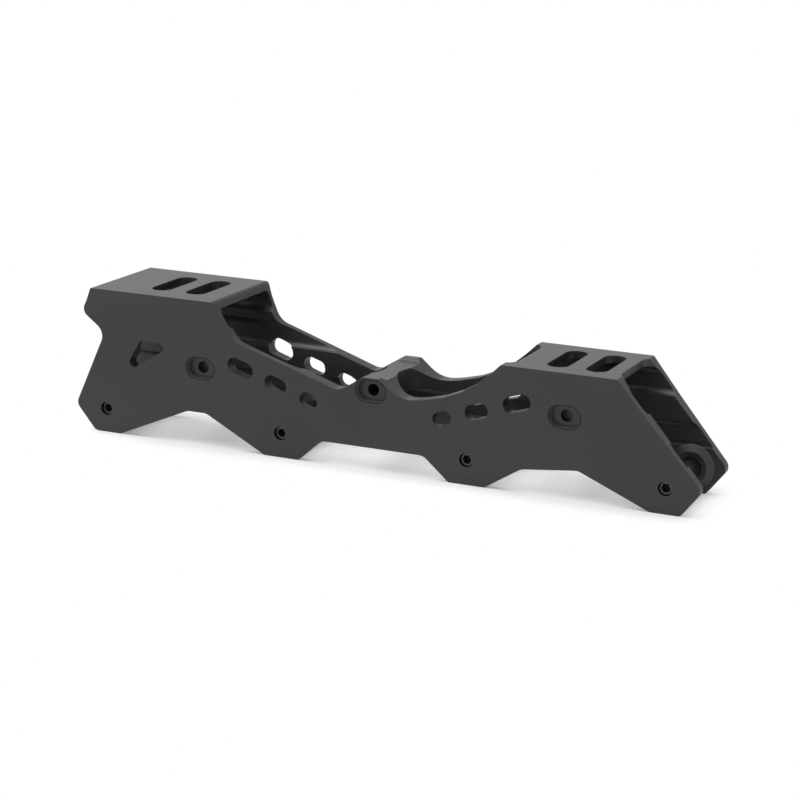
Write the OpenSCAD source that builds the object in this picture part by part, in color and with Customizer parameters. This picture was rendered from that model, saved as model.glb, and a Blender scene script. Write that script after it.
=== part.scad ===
// Inline skate frame: one aluminium extrusion, sawn and milled to outline, with four wheel axles.
// +X points to the toe, +Y to the left side, +Z up. The frame stands on the flats of its axle ears.

/* [Wheel line] */
// Diameter of the wheels that the frame is cut for
wheel_d = 76; // [74:0.5:78]
// Space between neighbouring wheels
wheel_space = 1; // [0.5:0.1:3]
// Space between a wheel and the webs that are cut away round it
wheel_clear = 1; // [0.6:0.1:1.6]
// Axle line above the flats that the frame stands on
ear_drop = 9.7; // [9:0.1:12]

/* [Extrusion] */
// Width over both walls at the axle line
axle_line_w = 36; // [35:0.25:38]
// Outward lean of each wall from upright, in degrees
wall_lean = 4.4; // [2:0.2:6]
// Thickness of the thin stretches of the walls
wall_t = 3; // [2.5:0.1:3.4]
// Thickness of the walls above the toe platform's height
heel_wall_t = 2.3; // [2:0.1:2.8]
// Top of the heel platform above the axle line
heel_h = 49.4; // [47:0.2:53]
// Top of the toe platform above the axle line
toe_h = 38.6; // [37:0.2:41]
// Thickness of both platforms
platform_t = 2.9; // [2.5:0.1:3.6]
// Top of the bridge web above the axle line
web_h = 25.8; // [25.2:0.1:26.4]
// Thickness of the bridge web
web_t = 9; // [8.8:0.1:9.6]
// Clear width between the thick lower bands of the walls
bay_w = 28; // [27:0.2:28.8]
// Top of the thick lower bands above the axle line
band_h = 8; // [6.5:0.1:10]
// Flare of each long edge of the heel platform beyond the line of its wall
heel_lip = 1.5; // [1.1:0.05:1.7]
// Height of that flare
heel_lip_h = 5.5; // [5:0.1:6.2]
// Radius of the hollow in which the wall runs into the flare
heel_lip_r = 16; // [10:0.5:18]
// Flare of the inner face of each wall under the heel platform
heel_inner_lip = 0.9; // [0.6:0.05:1.1]
// Radius of the long outer edges of the heel platform
top_edge_r = 0.4; // [0.2:0.05:0.8]
// Radius of the inner corners under the heel platform
heel_inner_r = 2; // [1.2:0.1:3]
// Radius of the inner corners over and under the toe platform's web
toe_inner_r = 3.2; // [2:0.1:3.4]
// Radius of the other inner corners of the extrusion
inner_corner_r = 2.5; // [1:0.1:3]

/* [Milling] */
// Width of the round-ended cuts that clear the wheels through the bridge web
wheel_cut_w = 28.6; // [28:0.1:30]
// Width of the cuts that notch the toe platform between the walls
toe_cut_w = 32.4; // [31:0.2:33]
// Corner radius of those cuts, seen from above
toe_cut_r = 5; // [3:0.5:8]
// Depth of the notch in the rear edge of the toe platform
toe_rear_notch = 3.3; // [2.4:0.1:4]
// Depth of the notch in the front edge of the toe platform
toe_front_notch = 1.5; // [0.8:0.1:2.2]

/* [Boot mounts] */
// Distance from the heel mount to the toe mount
mount_span = 165; // [160:1:170]
// Toe mount ahead of the middle of the two toe axles
toe_mount_shift = 0.9; // [0:0.1:3]
// Distance between the two slots of one mount
slot_pitch = 15; // [12:0.5:17]
// Width of a slot
slot_w = 8.3; // [6.5:0.1:9]
// Length of a slot across the frame
slot_len = 27.4; // [22:0.2:29]

/* [Axle seats] */
// Distance between the faces of the bosses inside the walls
boss_gap = 24.6; // [24.2:0.1:25.4]
// Diameter of a boss at its face
boss_face_d = 12.4; // [11.5:0.1:13.5]
// Diameter of a boss at the wall
boss_base_d = 17.6; // [16:0.2:18.4]
// Depth of the axle head's outer face below the left wall at the axle line
head_recess = 0.8; // [0.7:0.05:1.2]
// Depth of the axle tip below the right wall at the axle line
tip_recess = 1.2; // [0.6:0.1:1.8]

/* [Axles] */
// Diameter of the axle shaft
axle_d = 8; // [7.5:0.1:8.4]
// Diameter of the axle's threaded end
thread_d = 6; // [5.5:0.1:6.4]
// Diameter of the axle head
head_d = 11.6; // [11:0.1:12]
// Thickness of the axle head
head_t = 2.4; // [2:0.1:2.8]
// Chamfer on the axle's head and tip
axle_chamfer = 0.5; // [0.2:0.05:0.6]
// Key width of the socket in the head
head_key = 4; // [3:0.5:5]
// Key width of the socket in the tip
tip_key = 3; // [2.5:0.25:3.5]
// Depth of both sockets
key_depth = 3.5; // [2:0.1:4]
// Running clearance on radius between an axle and its bores
bore_clear = 0.05; // [0.02:0.01:0.1]
// Clearance round and under the axle head
head_clear = 0.3; // [0.2:0.05:0.5]

/* [Rear end] */
// Rear top corner of the heel platform behind the rear axle
heel_rear_reach = 3.8; // [1.5:0.1:5.5]
// Corner of the rear nose behind the rear axle
nose_reach = 9.1; // [7:0.1:10.5]
// Corner of the rear nose below the heel platform
nose_drop = 10.1; // [8:0.1:12]
// Hollow above the rear ear ahead of the rear axle
rear_hollow_shift = 0.8; // [0:0.1:2.5]
// Hollow above the rear ear below the heel platform
rear_hollow_drop = 17.8; // [16:0.1:19]
// Tips of the first and last ears beyond their axles, before rounding
tip_reach = 13.9; // [12.5:0.1:15.5]
// Height of those tips above the axle line
tip_h = 0.7; // [0:0.1:2]
// Rounding of those tips
tip_r = 3.4; // [2:0.1:5]

/* [Ears and arches] */
// Half length of the flats of the first and last ears
end_flat = 5.8; // [5:0.1:7]
// Half length of the flats of the two middle ears
mid_flat = 7.3; // [6:0.1:8.5]
// Rounding of the ear corners
ear_r = 1.6; // [0.5:0.1:2]
// Height of the heel arch above the axle line
heel_arch_h = 3.8; // [2.5:0.1:5]
// Length of the heel arch's flat
heel_arch_len = 8.2; // [6:0.1:10]
// Middle of the heel arch's flat ahead of the middle of its two axles
heel_arch_shift = 2.2; // [0:0.1:4]
// Depth of the middle arch's flat below the axle line
mid_arch_drop = 0.7; // [0:0.1:2]
// Length of the middle arch's flat
mid_arch_len = 42.4; // [38:0.2:46]
// Height of the toe arch's front end above the axle line
toe_arch_h = 2.1; // [1:0.1:4]
// Fall of the toe arch from its front end to its rear end
toe_arch_fall = 2.6; // [1:0.1:4]
// Length of the toe arch's flat
toe_arch_len = 22; // [19:0.2:24]
// Middle of the toe arch behind the middle of its two axles
toe_arch_shift = 5.7; // [4:0.1:7]
// Rounding of the arches
arch_r = 5; // [3:0.5:6]

/* [Top edge] */
// Front top corner of the heel platform ahead of the heel mount
heel_front_reach = 21.9; // [20:0.1:23]
// Rounding of that corner, seen from the side
heel_front_r = 2.2; // [1:0.1:3]
// Length of the heel's slanted front, from its top corner to its foot
heel_front_run = 7; // [6.4:0.1:8.6]
// Foot of the heel's front above the axle line
heel_foot_h = 34.9; // [34:0.1:36]
// Rounding of that foot
heel_foot_r = 8; // [4:0.5:9]
// Rear end of the dip behind the middle bridge
rear_dip_x = 13.1; // [12:0.1:14]
// Rear dip above the axle line
rear_dip_h = 20.4; // [19.6:0.1:21]
// Rounding of the rear dip
rear_dip_r = 6; // [3:0.5:7]
// Length of the hump over the middle bridge
hump_len = 6.6; // [5:0.1:8]
// Rise of the hump over the bridge web
hump_rise = 1.2; // [0.8:0.1:2]
// Rounding of the hump
hump_r = 1.8; // [1:0.1:2.5]
// Front dip ahead of the middle bridge
front_dip_x = 12.4; // [12:0.1:13.5]
// Front dip above the axle line, before rounding
front_dip_h = 19.7; // [19:0.1:20.4]
// Rounding of the front dip
front_dip_r = 13; // [8:0.5:13]
// Length of the toe platform's swept rear, from its top corner to its foot before rounding
toe_rear_run = 14.8; // [14:0.1:15.6]
// Foot of that sweep above the axle line, before rounding
toe_foot_h = 24; // [23.4:0.1:24.8]
// Radius of the sweep
toe_foot_r = 50; // [40:1:56]

/* [Toe end] */
// Rear top corner of the toe platform behind the toe mount
toe_rear_back = 25.7; // [25:0.1:27]
// Front top corner of the toe platform behind the front axle
toe_front_back = 18.7; // [16.5:0.1:20.5]
// Bend in the toe's slanted front behind the front axle
toe_bend_back = 7.3; // [6:0.1:9]
// Bend in the toe's slanted front above the axle line
toe_bend_h = 25; // [23:0.2:27]
// Rounding of the other platform corners, seen from the side
platform_corner_r = 1; // [0.4:0.1:1.5]

/* [Lightening holes] */
// Height of the first slanted hole of each row above the axle line
row_h = 15; // [14.6:0.1:15.4]
// Rise of each row of slanted holes per unit of length
row_rise = 0.32; // [0.3:0.01:0.34]
// First slanted hole behind the middle
heel_row_x = 26.2; // [25:0.1:27]
// First slanted hole ahead of the middle
toe_row_x = 28.8; // [28:0.1:30]
// Distance between the first and second slanted holes
row_step = 13.8; // [13:0.1:14.5]
// Further distance to the last hole of the heel row
heel_row_more = 1.2; // [0.8:0.1:1.6]
// Further distance to the last hole of the toe row
toe_row_more = 2.1; // [1.6:0.1:2.4]
// Length of the first slanted hole
row_hole_len = 7.3; // [6.5:0.1:8]
// Further length of each next hole
row_hole_len_more = 1.7; // [1:0.1:2]
// Upright width of the first slanted hole
row_hole_w = 5.8; // [5.2:0.1:6.2]
// Further width of each next hole
row_hole_w_more = 0.35; // [0.1:0.05:0.6]
// Rounding of the slanted holes
row_hole_r = 2; // [1.2:0.1:2.3]
// Upper rear corner of the three-sided heel hole behind the middle of the two heel axles
heel_hole_shift = 21.8; // [21:0.1:23]
// Upper edge of the heel hole above the axle line
heel_hole_h = 29.9; // [29:0.1:30.5]
// Length of the heel hole's upper edge, before rounding
heel_hole_len = 15; // [13.5:0.1:16]
// Lower corner of the heel hole behind its upper rear corner
heel_hole_back = 9.1; // [8:0.1:10]
// Depth of the heel hole, before rounding
heel_hole_drop = 15.2; // [14:0.1:16]
// Rounding of the heel hole
heel_hole_r = 2; // [1.4:0.1:2.2]

/* [Side pockets] */
// Middle of the pockets above the axle line
pocket_h = 21.9; // [21.4:0.1:22.4]
// Heel pocket ahead of the middle of its two axles
heel_pocket_shift = 4.5; // [0:0.1:6]
// Length of a pocket
pocket_len = 12.2; // [11:0.1:13]
// Width of a pocket
pocket_w = 8.4; // [7:0.1:8.6]
// Depth of a pocket in the wall
pocket_depth = 2.6; // [1.5:0.1:3]
// Diameter of the hole in a pocket
pocket_hole_d = 4.6; // [3.5:0.1:5.5]
// Depth of the heel and toe pockets' holes below the pocket floor
pocket_hole_depth = 3.2; // [2:0.1:4]
// Depth of the middle pockets' holes below the pocket floor
mid_hole_depth = 9; // [6:0.1:11]

/* [Hidden] */
$fn = 64;

// Turn covered by one straight piece of a rounded corner, in degrees
corner_step = 11;
// How far a cut runs past the face that it leaves
past = 1;

wheel_pitch = wheel_d + wheel_space;
axle_x = [for (i = [-1.5, -0.5, 0.5, 1.5]) i * wheel_pitch];
heel_mid_x = -wheel_pitch;
toe_mid_x = wheel_pitch;
half_axle_w = axle_line_w / 2;
bay_half = bay_w / 2;
boss_half = boss_gap / 2;
tip_x = axle_x[3] + tip_reach;
toe_mount_x = toe_mid_x + toe_mount_shift;
heel_mount_x = toe_mount_x - mount_span;
heel_front_x = heel_mount_x + heel_front_reach;
toe_rear_x = toe_mount_x - toe_rear_back;
toe_front_x = axle_x[3] - toe_front_back;
blank_len = 2 * (tip_x + past);
heel_edge_half = outer_half(heel_h) + heel_lip;
blank_w = 2 * heel_edge_half + 2 * past;
web_bottom = web_h - web_t;
heel_under = heel_h - platform_t;
toe_under = toe_h - platform_t;
axle_bore_d = axle_d + 2 * bore_clear;
thread_bore_d = thread_d + 2 * bore_clear;
head_bore_d = head_d + 2 * head_clear;
head_face_y = half_axle_w - head_recess;
head_seat_y = head_face_y - head_t;
tip_y = -half_axle_w + tip_recess;
shoulder_y = -boss_half + head_clear;

// Half width over the walls at a height above the axle line
function outer_half(h) = half_axle_w + h * tan(wall_lean);
// Half width between walls of thickness t
function inner_half(h, t) = outer_half(h) - t;

// Distance ahead of an axle that its wheel needs at a height above the axle line
function wheel_reach(h) = sqrt(pow(wheel_d / 2 + wheel_clear, 2) - h * h);

function unit(v) = v / norm(v);

// Points of one corner at q, between its neighbours p and s, rounded to radius r
function corner(p, q, s, r) =
    let (
        u = unit(p - q),
        v = unit(s - q),
        half = acos(u * v) / 2,
        centre = q + unit(u + v) * r / sin(half),
        start = q + u * r / tan(half) - centre,
        end = q + v * r / tan(half) - centre,
        turn = (180 - 2 * half) * sign(cross(start, end)),
        from = atan2(start.y, start.x),
        steps = ceil(abs(turn) / corner_step)
    )
    [for (i = [0:steps]) let (a = from + turn * i / steps) centre + r * [cos(a), sin(a)]];

function flat_point(c) = [c[0], c[1]];

// Closed outline through corners [x, y, radius]
function rounded(corners) =
    let (n = len(corners))
    [
        for (i = [0:n - 1])
            let (
                p = flat_point(corners[(i + n - 1) % n]),
                q = flat_point(corners[i]),
                s = flat_point(corners[(i + 1) % n]),
                r = corners[i][2]
            )
            each (r > 0 ? corner(p, q, s, r) : [q])
    ];

// Corners of an ear's flat, rear then front
function ear(x, half) = [[x - half, -ear_drop, ear_r], [x + half, -ear_drop, ear_r]];

function heel_arch() =
    let (x = heel_mid_x + heel_arch_shift, half = heel_arch_len / 2)
    [[x - half, heel_arch_h, arch_r], [x + half, heel_arch_h, arch_r]];

function mid_arch() =
    let (half = mid_arch_len / 2)
    [[-half, -mid_arch_drop, arch_r], [half, -mid_arch_drop, arch_r]];

function toe_arch() =
    let (x = toe_mid_x - toe_arch_shift, half = toe_arch_len / 2)
    [[x - half, toe_arch_h - toe_arch_fall, arch_r], [x + half, toe_arch_h, arch_r]];

// Lower edge of the side view, from the rear tip to the front tip
function lower_edge() = [
    [-tip_x, tip_h, tip_r],
    each ear(axle_x[0], end_flat),
    each heel_arch(),
    each ear(axle_x[1], mid_flat),
    each mid_arch(),
    each ear(axle_x[2], mid_flat),
    each toe_arch(),
    each ear(axle_x[3], end_flat),
    [tip_x, tip_h, tip_r]
];

// Upper edge of the side view, from the toe's slanted front back to the heel
function upper_edge() = [
    [axle_x[3] - toe_bend_back, toe_bend_h, arch_r],
    [toe_front_x, toe_h, platform_corner_r],
    [toe_rear_x, toe_h, platform_corner_r],
    [toe_rear_x - toe_rear_run, toe_foot_h, toe_foot_r],
    [front_dip_x, front_dip_h, front_dip_r],
    [hump_len / 2, web_h + hump_rise, hump_r],
    [-hump_len / 2, web_h + hump_rise, hump_r],
    [-rear_dip_x, rear_dip_h, rear_dip_r],
    [heel_front_x + heel_front_run, heel_foot_h, heel_foot_r],
    [heel_front_x, heel_h, heel_front_r],
    [axle_x[0] - heel_rear_reach, heel_h, platform_corner_r],
    [axle_x[0] - nose_reach, heel_h - nose_drop, tip_r],
    [axle_x[0] + rear_hollow_shift, heel_h - rear_hollow_drop, arch_r]
];

// Stretch of the extrusion's hollow between two heights, with walls of thickness t beside it
function hollow(bottom, top, bottom_r, top_r, t = wall_t, flare = 0) = rounded([
    [-inner_half(bottom, t), bottom, bottom_r],
    [inner_half(bottom, t), bottom, bottom_r],
    [inner_half(top, t) + flare, top, top_r],
    [-inner_half(top, t) - flare, top, top_r]
]);

// Cross-section of the extrusion in Y and Z, with its two platform webs and its bridge web
module section() {
    neck_h = heel_h - heel_lip_h;
    neck = outer_half(neck_h);
    foot = outer_half(-ear_drop);
    below = -ear_drop - past;
    difference() {
        polygon(rounded([
            [-foot, -ear_drop, 0],
            [foot, -ear_drop, 0],
            [neck, neck_h, heel_lip_r],
            [heel_edge_half, heel_h, top_edge_r],
            [-heel_edge_half, heel_h, top_edge_r],
            [-neck, neck_h, heel_lip_r]
        ]));
        polygon(hollow(toe_h, heel_under, toe_inner_r, heel_inner_r, heel_wall_t, heel_inner_lip));
        polygon(hollow(web_h, toe_under, inner_corner_r, toe_inner_r));
        polygon(hollow(band_h, web_bottom, 0, inner_corner_r));
        translate([-bay_half, below])
            square([bay_w, band_h + past - below]);
    }
}

// A plan or side shape pushed through the part: from above, or from the side
module cut_down(bottom, top) translate([0, 0, bottom]) linear_extrude(top - bottom) children();
module cut_across(width) rotate([90, 0, 0]) linear_extrude(width, center = true) children();

module rounded_slot(length, width) {
    square([length - width, width], center = true);
    for (side = [-1, 1])
        translate([side * (length - width) / 2, 0])
            circle(d = width);
}

// Rectangle with true arcs at its corners
module rounded_rectangle(length, width, r) {
    square([length - 2 * r, width], center = true);
    square([length, width - 2 * r], center = true);
    for (sx = [-1, 1], sy = [-1, 1])
        translate([sx * (length / 2 - r), sy * (width / 2 - r)])
            circle(r);
}

module blank() {
    intersection() {
        rotate([90, 0, 90])
            linear_extrude(blank_len, center = true)
                section();
        cut_across(blank_w)
            polygon(rounded(concat(lower_edge(), upper_edge())));
    }
}

// Cuts through the bridge web, one for each wheel
module wheel_cuts() {
    for (x = axle_x)
        cut_down(web_bottom - past, web_h + past)
            translate([x, 0])
                rounded_slot(2 * wheel_reach(web_bottom), wheel_cut_w);
}

// Cuts through the toe web that leave only the toe platform, notched between the walls for the wheels
module toe_web_cuts() {
    far = tip_x + past + toe_cut_r;
    for (ends = [[-far, toe_rear_x + toe_rear_notch], [toe_front_x - toe_front_notch, far]])
        cut_down(toe_under - past, toe_h + past)
            translate([(ends[0] + ends[1]) / 2, 0])
                rounded_rectangle(ends[1] - ends[0], toe_cut_w, toe_cut_r);
}

module boot_slots() {
    for (pair = [[toe_mount_x, toe_h], [heel_mount_x, heel_h]])
        for (side = [-1, 1])
            cut_down(pair[1] - platform_t - past, pair[1] + past)
                translate([pair[0] + side * slot_pitch / 2, 0])
                    rotate(90)
                        rounded_slot(slot_len, slot_w);
}

// Hole with upright ends, long sides that rise along it, and true arcs at its corners
module slanted_hole(length, width, rise, r) {
    tilt = atan(rise);
    a = length / 2 - r;
    b = width / 2 - r / cos(tilt);
    lift = a * rise;
    corners = [[-a, -b - lift], [a, -b + lift], [a, b + lift], [-a, b - lift]];
    out = [r, 0];
    above = r * [-sin(tilt), cos(tilt)];
    polygon([
        corners[0] - out,
        corners[0] - above,
        corners[1] - above,
        corners[1] + out,
        corners[2] + out,
        corners[2] + above,
        corners[3] + above,
        corners[3] - out
    ]);
    for (c = corners)
        translate(c)
            circle(r);
}

// Rows of slanted holes in both walls, larger towards the heel and the toe
module row_holes() {
    for (row = [[-1, heel_row_x, heel_row_more], [1, toe_row_x, toe_row_more]])
        for (i = [0:2]) {
            along = i * row_step + max(0, i - 1) * row[2];
            cut_across(blank_w)
                translate([row[0] * (row[1] + along), row_h + along * row_rise])
                    slanted_hole(
                        row_hole_len + i * row_hole_len_more,
                        row_hole_w + i * row_hole_w_more,
                        row[0] * row_rise,
                        row_hole_r
                    );
        }
}

module heel_hole() {
    x = heel_mid_x - heel_hole_shift;
    cut_across(blank_w)
        polygon(rounded([
            [x, heel_hole_h, heel_hole_r],
            [x - heel_hole_back, heel_hole_h - heel_hole_drop, heel_hole_r],
            [x + heel_hole_len, heel_hole_h, heel_hole_r]
        ]));
}

// Pockets over the ends of the three bridges, on both sides
module pockets() {
    floor_y = outer_half(pocket_h) - pocket_depth;
    reach = outer_half(heel_h) - floor_y;
    heel_x = heel_mid_x + heel_pocket_shift;
    for (place = [[heel_x, pocket_hole_depth], [0, mid_hole_depth], [toe_mid_x, pocket_hole_depth]])
        for (side = [-1, 1]) {
            translate([place[0], side * (floor_y + reach / 2), pocket_h])
                cut_across(reach)
                    rounded_slot(pocket_len, pocket_w);
            translate([place[0], side * (floor_y + (past - place[1]) / 2), pocket_h])
                rotate([90, 0, 0])
                    cylinder(d = pocket_hole_d, h = place[1] + past, center = true);
        }
}

module bosses() {
    boss_h = bay_half - boss_half;
    for (x = axle_x)
        for (side = [-1, 1])
            translate([x, side * boss_half, 0])
                rotate([-90 * side, 0, 0]) {
                    cylinder(d1 = boss_face_d, d2 = boss_base_d, h = boss_h);
                    translate([0, 0, boss_h])
                        cylinder(d = boss_base_d, h = past);
                }
}

// A bore along Y from one place to another
module bore(x, d, from_y, to_y)
    translate([x, from_y, 0])
        rotate([-90, 0, 0])
            cylinder(d = d, h = to_y - from_y);

module axle_bores() {
    for (x = axle_x) {
        bore(x, thread_bore_d, -half_axle_w - past, -boss_half + past);
        bore(x, axle_bore_d, boss_half - past, half_axle_w + past);
        bore(x, head_bore_d, head_seat_y - head_clear, half_axle_w + past);
    }
}

module frame_channel() {
    color([0.17, 0.175, 0.175])
        translate([0, 0, ear_drop])
            difference() {
                union() {
                    difference() {
                        blank();
                        wheel_cuts();
                        toe_web_cuts();
                        boot_slots();
                        row_holes();
                        heel_hole();
                        pockets();
                    }
                    bosses();
                }
                axle_bores();
            }
}

// Axle drawn along Y: head in the left wall, threaded end in the right wall
module axle(x) {
    head_r = head_d / 2;
    thread_r = thread_d / 2;
    color([0.13, 0.13, 0.135])
        translate([x, 0, ear_drop])
            rotate([-90, 0, 0])
                difference() {
                    rotate_extrude()
                        polygon([
                            [0, tip_y],
                            [thread_r - axle_chamfer, tip_y],
                            [thread_r, tip_y + axle_chamfer],
                            [thread_r, shoulder_y],
                            [axle_d / 2, shoulder_y],
                            [axle_d / 2, head_seat_y],
                            [head_r, head_seat_y],
                            [head_r, head_face_y - axle_chamfer],
                            [head_r - axle_chamfer, head_face_y],
                            [0, head_face_y]
                        ]);
                    translate([0, 0, head_face_y - key_depth])
                        key_hole(head_key);
                    translate([0, 0, tip_y - past])
                        key_hole(tip_key);
                }
}

// Hexagonal hole for a key, measured across its flats
module key_hole(across) cylinder(d = across / cos(30), h = key_depth + past, $fn = 6);

frame_channel();
axle(axle_x[0]);  // axle_1
axle(axle_x[1]);  // axle_2
axle(axle_x[2]);  // axle_3
axle(axle_x[3]);  // axle_4
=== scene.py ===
import math

import bmesh
import bpy
from mathutils import Matrix, Vector


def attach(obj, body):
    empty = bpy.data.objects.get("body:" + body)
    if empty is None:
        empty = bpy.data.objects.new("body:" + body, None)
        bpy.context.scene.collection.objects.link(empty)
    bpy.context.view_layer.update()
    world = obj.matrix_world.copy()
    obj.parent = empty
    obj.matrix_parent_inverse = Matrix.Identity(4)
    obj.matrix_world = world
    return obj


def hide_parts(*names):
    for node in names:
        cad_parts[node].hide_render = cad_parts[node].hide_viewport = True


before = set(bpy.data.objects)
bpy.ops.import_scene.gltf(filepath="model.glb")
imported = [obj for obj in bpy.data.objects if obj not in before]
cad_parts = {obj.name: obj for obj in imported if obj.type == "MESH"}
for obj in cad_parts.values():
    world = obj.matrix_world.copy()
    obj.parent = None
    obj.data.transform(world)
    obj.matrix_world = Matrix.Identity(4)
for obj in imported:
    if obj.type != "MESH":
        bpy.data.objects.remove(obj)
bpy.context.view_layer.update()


# Frame channel: one length of aluminium extrusion with leaning walls and three cross webs.
# It is sawn, milled to outline, broken by hand at every edge, bead blasted and black anodised.
# The four axles cross its ears; nothing else is fastened to it.
channel = bpy.data.objects.new("channel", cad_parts["frame_channel"].data.copy())
bpy.context.scene.collection.objects.link(channel)
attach(channel, "frame")
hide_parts("frame_channel")

axle_height = 0.0097
wall_lean = math.radians(4.4)
wall_slope = math.tan(wall_lean)


def widen_corner(before, corner, after, solid_r, wide_r):
    """Moves the points of a rounded corner of the side view onto a wider arc.

    The corner lies between the two others, all in metres along the frame and up.
    The points stay on the leaning walls.
    """
    off_arc, past_end = 0.00002, 0.01
    one, other = (before - corner).normalized(), (after - corner).normalized()
    half_angle_sine = math.sin(one.angle(other) / 2)
    inward = (one + other).normalized()
    centre = corner + inward * solid_r / half_angle_sine
    for point in channel.data.vertices:
        flat = Vector((point.co.x, point.co.z))
        out = flat - centre
        on_arc = abs(out.length - solid_r) <= off_arc
        if on_arc and out.normalized().dot(-inward) >= half_angle_sine - past_end:
            shift = (flat - corner) * (wide_r / solid_r - 1)
            side = math.copysign(1, point.co.y)
            point.co += Vector((shift.x, side * shift.y * wall_slope, shift.y))


# The slanted holes of both walls, three behind the middle and three ahead of it, end almost round
row_rise = 0.32
hole_gap = 0.0138
first_hole_height = axle_height + 0.015
first_length, longer_by = 0.0073, 0.0017
first_width, wider_by = 0.0058, 0.00035
solid_hole_r = 0.002
first_round_r, rounder_by = 0.0026, 0.00016
for end, first_hole, last_gap_more in ((-1, 0.0262, 0.0012), (1, 0.0288, 0.0021)):
    for number in range(3):
        run = number * hole_gap + max(0, number - 1) * last_gap_more
        middle = Vector((end * (first_hole + run), first_hole_height + run * row_rise))
        half_length = (first_length + number * longer_by) / 2
        half_width = (first_width + number * wider_by) / 2
        slant = end * row_rise * half_length
        corners = [
            middle + Vector((-half_length, -half_width - slant)),
            middle + Vector((half_length, -half_width + slant)),
            middle + Vector((half_length, half_width + slant)),
            middle + Vector((-half_length, half_width - slant)),
        ]
        round_r = first_round_r + number * rounder_by
        for k in range(4):
            widen_corner(corners[k - 1], corners[k], corners[(k + 1) % 4], solid_hole_r, round_r)

# The heel of the rear ear is filed round
ear_back, ear_heel, ear_sole = Vector((-0.1294, 0.0104)), Vector((-0.1213, 0)), Vector((-0.1097, 0))
widen_corner(ear_back, ear_heel, ear_sole, solid_r=0.0016, wide_r=0.0034)

weld = channel.modifiers.new("joined corners", "WELD")
weld.merge_threshold = 1e-6
whole_faces = channel.modifiers.new("whole faces", "DECIMATE")
whole_faces.decimate_type = "DISSOLVE"
whole_faces.angle_limit = math.radians(0.2)
broken_edge = channel.modifiers.new("broken edges", "BEVEL")
broken_edge.width = 0.00018
broken_edge.segments = 2
broken_edge.limit_method = "ANGLE"
broken_edge.angle_limit = math.radians(38)
broken_edge.use_clamp_overlap = False


def smooth_under(angle):
    """A node group that shades a mesh smooth over every edge that bends by less than an angle."""
    group = bpy.data.node_groups.new("smooth under an angle", "GeometryNodeTree")
    group.interface.new_socket("Mesh", in_out="INPUT", socket_type="NodeSocketGeometry")
    group.interface.new_socket("Mesh", in_out="OUTPUT", socket_type="NodeSocketGeometry")
    given = group.nodes.new("NodeGroupInput")
    faces = group.nodes.new("GeometryNodeSetShadeSmooth")
    faces.domain = "FACE"
    edges = group.nodes.new("GeometryNodeSetShadeSmooth")
    edges.domain = "EDGE"
    bend = group.nodes.new("GeometryNodeInputMeshEdgeAngle")
    blunt = group.nodes.new("FunctionNodeCompare")
    blunt.operation = "LESS_THAN"
    blunt.inputs["B"].default_value = angle
    result = group.nodes.new("NodeGroupOutput")
    group.links.new(bend.outputs["Unsigned Angle"], blunt.inputs["A"])
    group.links.new(blunt.outputs["Result"], edges.inputs["Shade Smooth"])
    group.links.new(given.outputs["Mesh"], faces.inputs["Geometry"])
    group.links.new(faces.outputs["Geometry"], edges.inputs["Geometry"])
    group.links.new(edges.outputs["Geometry"], result.inputs["Mesh"])
    return group


rounded_light = channel.modifiers.new("rounded light", "NODES")
rounded_light.node_group = smooth_under(math.radians(28))
flat_light = channel.modifiers.new("flat light", "WEIGHTED_NORMAL")
flat_light.weight = 100
flat_light.keep_sharp = True


def new_finish(name, colour, roughness, metallic):
    """A material with its mean colour and roughness, round which the detail then varies."""
    finish = bpy.data.materials.new(name)
    finish.use_nodes = True
    shader = finish.node_tree.nodes["Principled BSDF"]
    shader.inputs["Base Color"].default_value = (*colour, 1)
    shader.inputs["Roughness"].default_value = roughness
    shader.inputs["Metallic"].default_value = metallic
    return finish, shader


def maths(owner, operation, *values):
    """The result of one step of arithmetic on numbers or on other results."""
    step = owner.node_tree.nodes.new("ShaderNodeMath")
    step.operation = operation
    for socket, value in zip(step.inputs, values):
        if isinstance(value, (int, float)):
            socket.default_value = value
        else:
            owner.node_tree.links.new(value, socket)
    return step.outputs["Value"]


def rescaled(owner, value, given, wanted, easing="LINEAR"):
    """A value moved from the range that is given into the one that is wanted, and held to it."""
    step = owner.node_tree.nodes.new("ShaderNodeMapRange")
    step.interpolation_type = easing
    for name, end in zip(("From Min", "From Max", "To Min", "To Max"), (*given, *wanted)):
        step.inputs[name].default_value = end
    owner.node_tree.links.new(value, step.inputs["Value"])
    return step.outputs["Result"]


def grain(finish, stretch, detail):
    """A noise over the piece's own coordinates, with so many grains per metre on X, Y and Z."""
    nodes, links = finish.node_tree.nodes, finish.node_tree.links
    place = nodes.new("ShaderNodeTexCoord")
    scaled = nodes.new("ShaderNodeMapping")
    scaled.inputs["Scale"].default_value = stretch
    noise = nodes.new("ShaderNodeTexNoise")
    noise.inputs["Scale"].default_value = 1
    noise.inputs["Detail"].default_value = detail
    links.new(place.outputs["Object"], scaled.inputs["Vector"])
    links.new(scaled.outputs["Vector"], noise.inputs["Vector"])
    return noise.outputs["Fac"]


def ramp(finish, noise, low, high):
    """A number or a colour between low and high, by the middle part of a noise."""
    noise_span = (0.3, 0.7)
    if not isinstance(low, tuple):
        return rescaled(finish, noise, noise_span, (low, high))
    step = finish.node_tree.nodes.new("ShaderNodeValToRGB")
    for stop, position, colour in zip(step.color_ramp.elements, noise_span, (low, high)):
        stop.position = position
        stop.color = (*colour, 1)
    finish.node_tree.links.new(noise, step.inputs["Fac"])
    return step.outputs["Color"]


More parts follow.
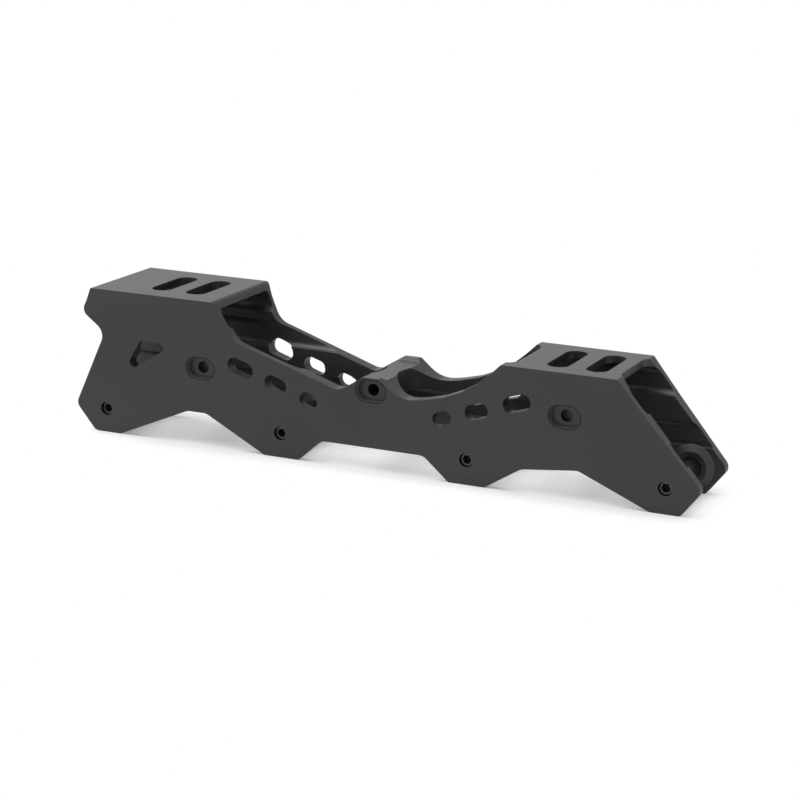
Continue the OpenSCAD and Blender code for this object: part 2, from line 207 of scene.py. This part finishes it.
def bumped(finish, heights):
    """Chains one bump for each height, depth in metres and strength, and gives the last normal."""
    nodes, links = finish.node_tree.nodes, finish.node_tree.links
    normal = None
    for height, depth, strength in heights:
        bump = nodes.new("ShaderNodeBump")
        bump.inputs["Distance"].default_value = depth
        bump.inputs["Strength"].default_value = strength
        links.new(height, bump.inputs["Height"])
        if normal:
            links.new(normal, bump.inputs["Normal"])
        normal = bump.outputs["Normal"]
    return normal


anodised, anodised_shader = new_finish("satin_black_anodised", (0.02, 0.021, 0.021), 0.46, 0)
anodised_nodes, anodised_links = anodised.node_tree.nodes, anodised.node_tree.links

# Drawn surfaces carry faint lines along the frame, and milled ones across it
die_lines = grain(anodised, (9, 1300, 1300), 4)
mill_lines = grain(anodised, (1100, 12, 1100), 3)
facing = anodised_nodes.new("ShaderNodeNewGeometry")
facing_parts = anodised_nodes.new("ShaderNodeSeparateXYZ")
anodised_links.new(facing.outputs["True Normal"], facing_parts.inputs["Vector"])
facing_along = maths(anodised, "ABSOLUTE", facing_parts.outputs["X"])
milled = rescaled(anodised, facing_along, (0.08, 0.2), (0, 1))
lines = anodised_nodes.new("ShaderNodeMix")
anodised_links.new(milled, lines.inputs["Factor"])
anodised_links.new(die_lines, lines.inputs["A"])
anodised_links.new(mill_lines, lines.inputs["B"])
tool_lines = lines.outputs["Result"]

# The dye takes in faint clouds, over the fine grain of the blasting
dye_clouds = grain(anodised, (38, 38, 38), 3)
dye = ramp(anodised, dye_clouds, (0.0185, 0.0195, 0.0192), (0.0225, 0.0237, 0.0236))
blasting = grain(anodised, (5200, 5200, 5200), 2)
skin = bumped(anodised, [(tool_lines, 0.00002, 0.25), (blasting, 0.00003, 0.3)])
anodised_links.new(dye, anodised_shader.inputs["Base Color"])
anodised_links.new(ramp(anodised, tool_lines, 0.39, 0.46), anodised_shader.inputs["Roughness"])
anodised_links.new(skin, anodised_shader.inputs["Normal"])

# Upright faces that look along the frame are given less shine than the rest: painted shade on the
# sides that face the ends
drawn_shine, end_face_shade_shine = 0.5, 0.22
facing_sideways = maths(anodised, "ABSOLUTE", facing_parts.outputs["Y"])
upright = rescaled(anodised, facing_sideways, (0.1, 0.02), (0, 1))
end_faces_painted_shade = maths(anodised, "MULTIPLY", upright, milled)
shine_with_painted_shade = rescaled(anodised, end_faces_painted_shade, (0, 1), (drawn_shine, end_face_shade_shine))

# A dull dark line is painted round the broken edge of each pocket, on the outer faces: painted
# shade where that edge falls dark
pocket_places = (-0.0725, 0, 0.077)
pocket_height = axle_height + 0.0219
pocket_r = 0.0042
pocket_half_run = 0.0019
pocket_floor = 0.01708
outer_face = 0.0187
shade_line_r = pocket_r + 0.00015
shade_line_half_width = 0.00028
shade_line_dullness = 0.85
spot = anodised_nodes.new("ShaderNodeTexCoord")
spot_parts = anodised_nodes.new("ShaderNodeSeparateXYZ")
anodised_links.new(spot.outputs["Object"], spot_parts.inputs["Vector"])
above = maths(anodised, "SUBTRACT", spot_parts.outputs["Z"], pocket_height)
above_squared = maths(anodised, "MULTIPLY", above, above)
to_shade_line = 1
for place in pocket_places:
    along = maths(anodised, "SUBTRACT", spot_parts.outputs["X"], place)
    past_run = maths(anodised, "SUBTRACT", maths(anodised, "ABSOLUTE", along), pocket_half_run)
    past_squared = maths(anodised, "POWER", maths(anodised, "MAXIMUM", past_run, 0), 2)
    out = maths(anodised, "SQRT", maths(anodised, "ADD", past_squared, above_squared))
    off_shade_line = maths(anodised, "ABSOLUTE", maths(anodised, "SUBTRACT", out, shade_line_r))
    to_shade_line = maths(anodised, "MINIMUM", to_shade_line, off_shade_line)
sideways = maths(anodised, "ABSOLUTE", spot_parts.outputs["Y"])
on_painted_shade_line = maths(
    anodised,
    "MULTIPLY",
    maths(anodised, "LESS_THAN", to_shade_line, shade_line_half_width),
    maths(anodised, "GREATER_THAN", sideways, outer_face),
)
# Painted shade: the shine is taken down along the line round each pocket
shine_left_by_shade_line = maths(anodised, "SUBTRACT", 1, maths(anodised, "MULTIPLY", on_painted_shade_line, shade_line_dullness))
anodised_links.new(
    maths(anodised, "MULTIPLY", shine_with_painted_shade, shine_left_by_shade_line), anodised_shader.inputs["Specular IOR Level"]
)
channel.data.materials.clear()
channel.data.materials.append(anodised)

# The sides of the pockets are painted paler than the rest, painted light that lifts the shade
# inside them; faint cutter marks vary them
pocket_side_painted_light, pocket_shader = new_finish("pocket_side_painted_light", (0.085, 0.087, 0.087), 0.5, 0)
pocket_links = pocket_side_painted_light.node_tree.links
cutter_marks = grain(pocket_side_painted_light, (700, 9000, 700), 3)
pocket_painted_light_colour = ramp(pocket_side_painted_light, cutter_marks, (0.075, 0.077, 0.077), (0.095, 0.097, 0.097))
pocket_skin = bumped(pocket_side_painted_light, [(cutter_marks, 0.00002, 0.3)])
pocket_links.new(pocket_painted_light_colour, pocket_shader.inputs["Base Color"])
pocket_links.new(ramp(pocket_side_painted_light, cutter_marks, 0.45, 0.55), pocket_shader.inputs["Roughness"])
pocket_links.new(pocket_skin, pocket_shader.inputs["Normal"])
channel.data.materials.append(pocket_side_painted_light)
off_side, steepest = 0.0001, 0.5
# Painted light: the faces round the side of each pocket take the paler finish
for face in channel.data.polygons:
    above_floor = abs(face.center.y) > pocket_floor and abs(face.normal.y) < steepest
    for place in pocket_places:
        past_run = max(0, abs(face.center.x - place) - pocket_half_run)
        out = math.hypot(past_run, face.center.z - pocket_height)
        if above_floor and abs(out - pocket_r) < off_side:
            face.material_index = 1


# Wheel axles: four alike, turned from steel bar, threaded M6 at the tip and blacked.
# Each passes through the left wall and between the bosses, and screws into the right wall.
# Its head lies in a counterbore of the left wall, and there is a key socket in either end.
axle_places = {1: -0.1155, 2: -0.0385, 3: 0.0385, 4: 0.1155}
tip_face, shoulder, head_seat, head_face = -0.0168, -0.012, 0.0148, 0.0172
shaft_r = 0.004
head_r = 0.0058
thread_pitch = 0.001
thread_root = 0.0024
thread_crest = 0.003
thread_rings, ring_gap = 50, 0.000084
tip_r = 0.0023
lead_in_height, lead_in_slope = 0.0007, 1.2
run_out = 0.0005
shaft_chamfer = 0.0003
neck_depth = 0.0002
neck_start = head_seat - 0.0004
neck_end = head_seat - 0.0003
head_edge = 0.0002
head_round, head_round_half = 0.0005, 0.00015
dish_r, dish_depth = 0.0027, 0.0004
socket_depth = 0.0035
tip_socket, tip_socket_mouth, tip_mouth_depth = 0.0031, 0.0032, 0.0001
head_socket = 0.004
tip_drill_point, head_drill_point = 0.0005, 0.0007
turns = 48


def hexagon(across):
    """The distance from the centre of a hexagon to its edge, by the angle."""
    return lambda angle: across / 2 / math.cos(angle % (math.pi / 3) - math.pi / 6)


def thread_radius(along, angle):
    """Radius of the thread at a place along the axle: flat crests and roots, slanted sides."""
    root_half, side = 0.12, 0.28
    turn = (along / thread_pitch + angle / math.tau) % 1
    rise = min(1, max(0, (abs(turn - 0.5) - root_half) / side))
    return thread_root + (thread_crest - thread_root) * rise


def turned(loops, bottom, top):
    """A closed turned piece along Y, from loops of [place, radius or radius by angle].

    It is closed by a point on the axis at either end. The faces from that point to the second
    loop are those of a key socket, and take the second finish.
    """
    lathe = bmesh.new()
    rows = []
    for along, radius in loops:
        row = []
        for i in range(turns):
            angle = math.tau * i / turns
            r = radius(angle) if callable(radius) else radius
            row.append(lathe.verts.new((r * math.cos(angle), along, r * math.sin(angle))))
        rows.append(row)
    first, last = lathe.verts.new((0, bottom, 0)), lathe.verts.new((0, top, 0))
    for i in range(turns):
        j = (i + 1) % turns
        sockets = [
            lathe.faces.new((first, rows[0][i], rows[0][j])),
            lathe.faces.new((last, rows[-1][j], rows[-1][i])),
        ]
        sides = [lathe.faces.new((a[i], b[i], b[j], a[j])) for a, b in zip(rows, rows[1:])]
        for face in sockets + [sides[0], sides[-1]]:
            face.material_index = 1
    bmesh.ops.recalc_face_normals(lathe, faces=lathe.faces)
    return lathe


def to_data(name, mesh):
    """Mesh data, smooth except over its sharper bends."""
    data = bpy.data.meshes.new(name)
    mesh.to_mesh(data)
    mesh.free()
    data.shade_smooth()
    data.set_sharp_from_angle(angle=math.radians(32))
    return data


axle_loops = [
    (tip_face + socket_depth, hexagon(tip_socket)),
    (tip_face + tip_mouth_depth, hexagon(tip_socket)),
    (tip_face, hexagon(tip_socket_mouth)),
    (tip_face, tip_r),
]
for number in range(1, thread_rings + 1):
    place = tip_face + number * ring_gap
    lead_in = tip_r + min(lead_in_height, (place - tip_face) * lead_in_slope)
    axle_loops.append((place, lambda a, y=place, r=lead_in: min(r, thread_radius(y, a))))
axle_loops += [
    (shoulder - run_out, thread_root),
    (shoulder, thread_root),
    (shoulder, shaft_r - shaft_chamfer),
    (shoulder + shaft_chamfer, shaft_r),
    (neck_start, shaft_r),
    (neck_end, shaft_r - neck_depth),
    (head_seat, shaft_r - neck_depth),
    (head_seat, head_r - head_edge),
    (head_seat + head_edge, head_r),
    (head_face - head_round, head_r),
    (head_face - head_round_half, head_r - head_round_half),
    (head_face, head_r - head_round),
    (head_face, dish_r),
    (head_face - dish_depth, hexagon(head_socket)),
    (head_face - socket_depth, hexagon(head_socket)),
]
tip_socket_end = tip_face + socket_depth + tip_drill_point
head_socket_end = head_face - socket_depth - head_drill_point
axle_data = to_data("wheel_axle", turned(axle_loops, tip_socket_end, head_socket_end))

blacked, blacked_shader = new_finish("blacked_steel", (0.07, 0.07, 0.073), 0.3, 1)
blacked_links = blacked.node_tree.links
turning = grain(blacked, (120, 7000, 120), 3)
oil = grain(blacked, (420, 420, 420), 4)
blacking = ramp(blacked, oil, (0.055, 0.055, 0.058), (0.085, 0.085, 0.088))
turned_skin = bumped(blacked, [(turning, 0.000012, 0.35)])
blacked_links.new(blacking, blacked_shader.inputs["Base Color"])
blacked_links.new(ramp(blacked, turning, 0.24, 0.36), blacked_shader.inputs["Roughness"])
blacked_links.new(turned_skin, blacked_shader.inputs["Normal"])
axle_data.materials.append(blacked)

# The sockets are broached, so they are dull, and they are painted near black: painted shade in the
# hollow of each socket
socket_painted_shade, socket_shader = new_finish("socket_painted_shade", (0.008, 0.008, 0.009), 0.7, 0)
socket_links = socket_painted_shade.node_tree.links
broaching = grain(socket_painted_shade, (3000, 200, 3000), 3)
socket_shade_colour = ramp(socket_painted_shade, broaching, (0.006, 0.006, 0.007), (0.011, 0.011, 0.012))
broached_skin = bumped(socket_painted_shade, [(broaching, 0.00002, 0.4)])
socket_links.new(socket_shade_colour, socket_shader.inputs["Base Color"])
socket_links.new(ramp(socket_painted_shade, broaching, 0.6, 0.8), socket_shader.inputs["Roughness"])
socket_links.new(broached_skin, socket_shader.inputs["Normal"])
axle_data.materials.append(socket_painted_shade)

for number, along in axle_places.items():
    wheel_axle = bpy.data.objects.new(f"wheel_axle_{number}", axle_data)
    wheel_axle.location = (along, 0, axle_height)
    bpy.context.scene.collection.objects.link(wheel_axle)
    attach(wheel_axle, f"axle_{number}")
    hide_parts(f"axle_{number}")


# Thread mouths: the first turn of the M6 thread in each right-hand bore, past the axle's tip.
# Its sharp start is dressed off flush with the leaning wall, which leaves a round mouth.
# It is cut into the wall after the drilling and anodised with it, so it is the wall's own metal.
wall_at_axle = -0.018
mouth_profile = [
    (0.00319, 0.00002),
    (0.00278, 0.00002),
    (0.00271, 0.00005),
    (0.00268, 0.00012),
    (0.00268, 0.00035),
    (0.00307, 0.0006),
    (0.00309, 0.0003),
]


def thread_mouth(profile):
    """A closed ring along Y from a profile of [radius, depth below the wall's leaning face]."""
    ring = bmesh.new()
    rows = []
    for i in range(turns):
        angle = math.tau * i / turns
        row = []
        for r, depth in profile:
            height = r * math.sin(angle)
            wall = wall_at_axle - height * wall_slope
            row.append(ring.verts.new((r * math.cos(angle), wall + depth, height)))
        rows.append(row)
    for i in range(turns):
        here, there = rows[i], rows[(i + 1) % turns]
        for k in range(len(profile)):
            m = (k + 1) % len(profile)
            ring.faces.new((here[k], here[m], there[m], there[k]))
    bmesh.ops.recalc_face_normals(ring, faces=ring.faces)
    return ring


mouth_data = to_data("thread_mouth", thread_mouth(mouth_profile))
mouth_data.materials.append(anodised)
for number, along in axle_places.items():
    mouth = bpy.data.objects.new(f"thread_mouth_{number}", mouth_data)
    mouth.location = (along, 0, axle_height)
    bpy.context.scene.collection.objects.link(mouth)
    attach(mouth, "frame")


# Camera: a long lens from the toe's right side, a little above the platforms.
# It stands about 0.9 m off, where the spacing of the four axles shows as it does in the photograph.
eye_place = (0.346046, -0.774601, 0.246901)
right = Vector((0.9120279, 0.4095701, 0.0213876))
up = Vector((-0.1230818, 0.2235875, 0.9668813))
back = right.cross(up)
eye = bpy.data.objects.new("camera", bpy.data.cameras.new("camera"))
bpy.context.scene.collection.objects.link(eye)
eye_turn = Matrix((right, up, back)).transposed().to_4x4()
eye.matrix_world = Matrix.Translation(eye_place) @ eye_turn
eye.data.sensor_width = 36
eye.data.lens = 103.364
eye.data.clip_start = 0.05
bpy.context.scene.camera = eye


# Studio: a white sweep under one large softbox, with pale walls all round.
# The floor and the walls are shown as white, and the floor keeps the soft shadow of the frame.
def seen_ray(owner):
    """1 for a ray from the camera, or one mirrored or bent on its way, and 0 for any other."""
    ray = owner.node_tree.nodes.new("ShaderNodeLightPath")
    seen = ray.outputs["Is Camera Ray"]
    for other in ("Is Glossy Ray", "Is Transmission Ray"):
        seen = maths(owner, "MAXIMUM", seen, ray.outputs[other])
    return seen


wall_light, wall_white = 0.5, 1
room = bpy.data.worlds.new("white room")
bpy.context.scene.world = room
room.use_nodes = True
background = room.node_tree.nodes["Background"]
background.inputs["Color"].default_value = (1, 1, 1, 1)
room_level = rescaled(room, seen_ray(room), (0, 1), (wall_light, wall_white))
room.node_tree.links.new(room_level, background.inputs["Strength"])

softbox = bpy.data.objects.new("overhead softbox", bpy.data.lights.new("overhead softbox", "AREA"))
softbox.data.shape = "RECTANGLE"
softbox.data.size = 1.0
softbox.data.size_y = 1.0
softbox.data.energy = 8.5
softbox.location = (-0.4, -0.1, 0.85)
softbox.rotation_mode = "QUATERNION"
softbox.rotation_quaternion = (-softbox.location).to_track_quat("-Z", "Y")
bpy.context.scene.collection.objects.link(softbox)

floor_gap = 0.0001
floor_mesh = bmesh.new()
bmesh.ops.create_grid(floor_mesh, x_segments=1, y_segments=1, size=8)
floor_data = bpy.data.meshes.new("floor")
floor_mesh.to_mesh(floor_data)
floor_mesh.free()
floor = bpy.data.objects.new("floor", floor_data)
floor.location.z = -floor_gap
bpy.context.scene.collection.objects.link(floor)

# The sweep is lifted a little where it is seen, and runs out to plain white away from the frame
lift_strength = 0.24
shadow_ground = (0.118, 0.018, 0)
fade_width = 0.016
sweep, sweep_shader = new_finish("white_sweep", (0.9, 0.9, 0.9), 0.9, 0)
sweep_shader.inputs["Specular IOR Level"].default_value = 0
sweep_nodes, sweep_links = sweep.node_tree.nodes, sweep.node_tree.links
sweep_seen = seen_ray(sweep)

lift = sweep_nodes.new("ShaderNodeEmission")
lifted = sweep_nodes.new("ShaderNodeAddShader")
sweep_links.new(maths(sweep, "MULTIPLY", sweep_seen, lift_strength), lift.inputs["Strength"])
sweep_links.new(sweep_shader.outputs["BSDF"], lifted.inputs[0])
sweep_links.new(lift.outputs["Emission"], lifted.inputs[1])

floor_spot = sweep_nodes.new("ShaderNodeTexCoord")
either_way = sweep_nodes.new("ShaderNodeVectorMath")
either_way.operation = "ABSOLUTE"
beyond = sweep_nodes.new("ShaderNodeVectorMath")
beyond.operation = "SUBTRACT"
beyond.inputs[1].default_value = shadow_ground
outside = sweep_nodes.new("ShaderNodeVectorMath")
outside.operation = "MAXIMUM"
away = sweep_nodes.new("ShaderNodeVectorMath")
away.operation = "LENGTH"
sweep_links.new(floor_spot.outputs["Object"], either_way.inputs[0])
sweep_links.new(either_way.outputs["Vector"], beyond.inputs[0])
sweep_links.new(beyond.outputs["Vector"], outside.inputs[0])
sweep_links.new(outside.outputs["Vector"], away.inputs[0])
fade = rescaled(sweep, away.outputs["Value"], (0, fade_width), (0, 1), "SMOOTHSTEP")

white = sweep_nodes.new("ShaderNodeEmission")
blend = sweep_nodes.new("ShaderNodeMixShader")
sweep_links.new(maths(sweep, "MULTIPLY", fade, sweep_seen), blend.inputs["Fac"])
sweep_links.new(lifted.outputs["Shader"], blend.inputs[1])
sweep_links.new(white.outputs["Emission"], blend.inputs[2])
sweep_links.new(blend.outputs["Shader"], sweep_nodes["Material Output"].inputs["Surface"])
floor.data.materials.append(sweep)

bpy.context.scene.view_settings.view_transform = "Standard"
